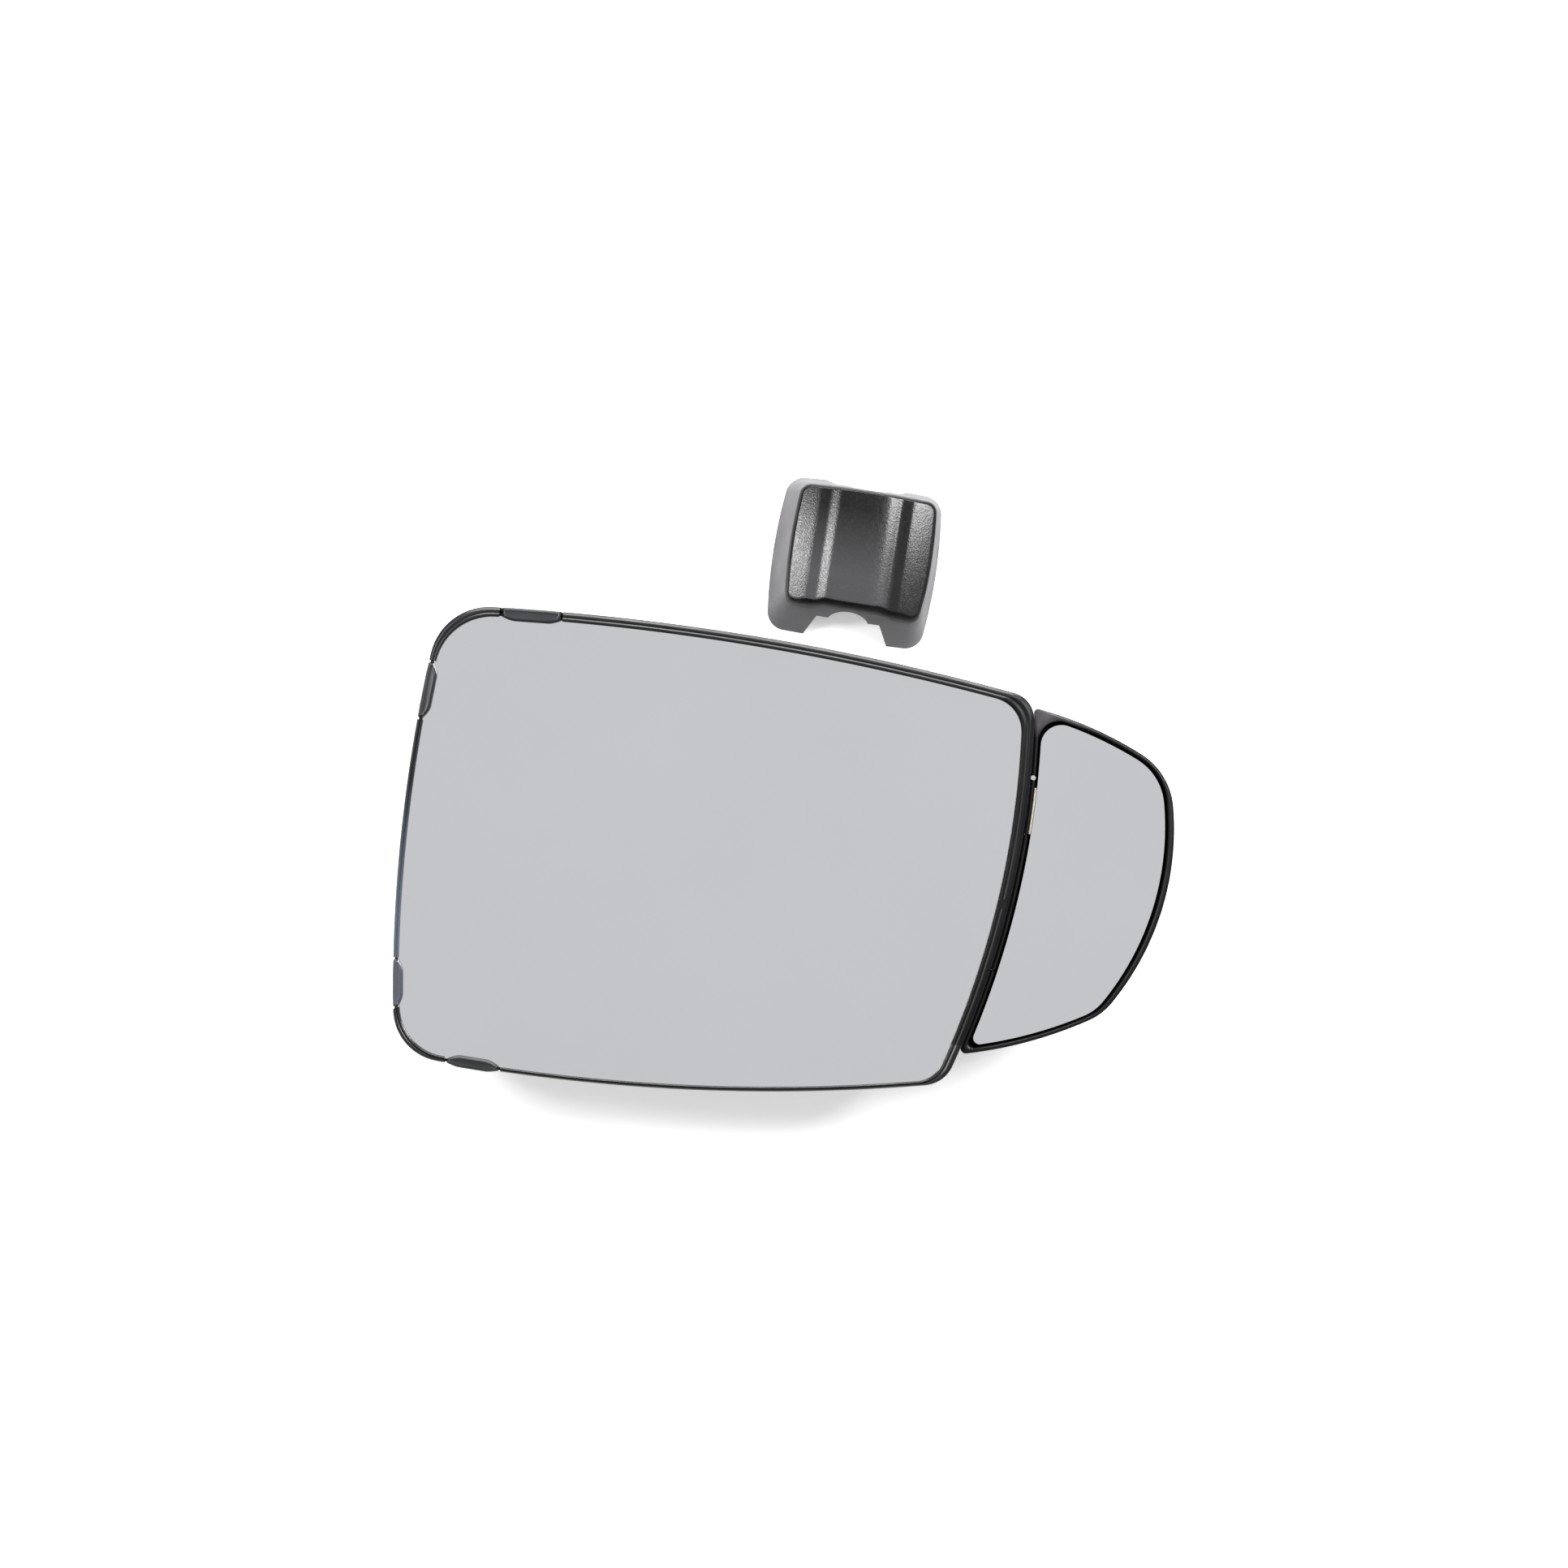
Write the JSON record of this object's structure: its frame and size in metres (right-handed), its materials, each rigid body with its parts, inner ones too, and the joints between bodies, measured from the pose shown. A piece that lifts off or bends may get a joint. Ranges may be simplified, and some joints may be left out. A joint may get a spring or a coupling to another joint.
{
  "type": "towing mirror",
  "caption": "Towing mirror head with a flat main glass, a hinged wide-angle wing, a tilting clamp for a round arm and the clamp's clip-on cover.",
  "frame": {"origin": "centre of the arm clamp's bore, at the middle of its length", "axes": "+Y along the arm bore towards the head's upper edge, +X from the main glass towards the wing, +Z out of the glass"},
  "size_m": [0.3189, 0.2559, 0.0687],
  "materials": {
    "cast_alloy": "die-cast alloy, bead blasted",
    "steel": "zinc plated steel",
    "nylon": "natural nylon",
    "black_plastic": "moulded black plastic with a fine grain",
    "rim_plastic": "satin black plastic",
    "left_rim_plastic": "satin blue-grey plastic",
    "clip_plastic": "satin black plastic",
    "backing_plastic": "dark moulded plastic",
    "foam": "closed-cell foam tape",
    "mirror_glass": "silvered glass with a faint blue tint",
    "felt": "tan felt",
    "grained_plastic": "dark plastic with a leather-like grain",
    "grey_soft_plastic": "smooth grey soft plastic"
  },
  "bodies": {
    "arm_clamp": {"clamp_block": "cast_alloy", "clamp_cap": "cast_alloy", "clamp_screws": "steel", "clamp_nuts": "steel"},
    "main_head": {"knuckle_bracket": "cast_alloy", "tilt_pin": "steel", "tilt_nut": "steel", "tilt_washers": "nylon", "bracket_screws": "steel", "main_housing": "black_plastic", "main_backing_plate": "backing_plastic", "backing_screws": "steel", "glass_pad": "foam", "main_glass": "mirror_glass", "main_rim": "rim_plastic", "left_rim": "left_rim_plastic", "corner_guard_upper": "rim_plastic", "corner_guard_lower": "rim_plastic", "clip_top": "clip_plastic", "clip_bottom": "clip_plastic", "clip_lower_left": "clip_plastic", "clip_upper_left": "clip_plastic", "rim_screw": "steel", "hinge_leaf_main": "steel", "hinge_pin": "steel", "hinge_screws_main": "steel"},
    "wing": {"wing_housing": "black_plastic", "wing_rim": "rim_plastic", "hinge_cover": "rim_plastic", "hinge_leaf_wing": "steel", "hinge_screws_wing": "steel", "rub_strip": "felt", "strip_rivet": "steel", "gimbal_bracket": "backing_plastic", "gimbal_screws": "steel"},
    "wing_gimbal": {"gimbal_ring": "backing_plastic", "gimbal_tilt_pins": "steel", "gimbal_pan_pins": "steel"},
    "wing_glass": {"wing_backing_plate": "backing_plastic", "wing_glass_pad": "foam", "wing_mirror_glass": "mirror_glass"},
    "clamp_cover": {"cover_face": "grained_plastic", "cover_skirt": "grey_soft_plastic"}
  },
  "joints": [
    {"name": "head_tilt", "type": "hinge", "parent": "arm_clamp", "child": "main_head", "pos_m": [0, 0, 0.0205], "axis": [1, 0, 0], "range_deg": [-10, 10]},
    {"name": "wing_fold", "type": "hinge", "parent": "main_head", "child": "wing", "pos_m": [0.09094, -0.0201, 0.0448], "axis": [0.2357, 0.9718, 0], "range_deg": [-6, 22]},
    {"name": "glass_tilt", "type": "hinge", "parent": "wing", "child": "wing_gimbal", "pos_m": [0.11524, -0.01432, 0.037], "axis": [1, 0, 0], "range_deg": [-3, 3]},
    {"name": "glass_pan", "type": "hinge", "parent": "wing_gimbal", "child": "wing_glass", "pos_m": [0.11524, -0.01432, 0.037], "axis": [0, 1, 0], "range_deg": [-3, 3]},
    {"name": "cover_lift", "type": "slide", "parent": "arm_clamp", "child": "clamp_cover", "axis": [0, 0, 1], "range_m": [0, 0.08]}
  ]
}
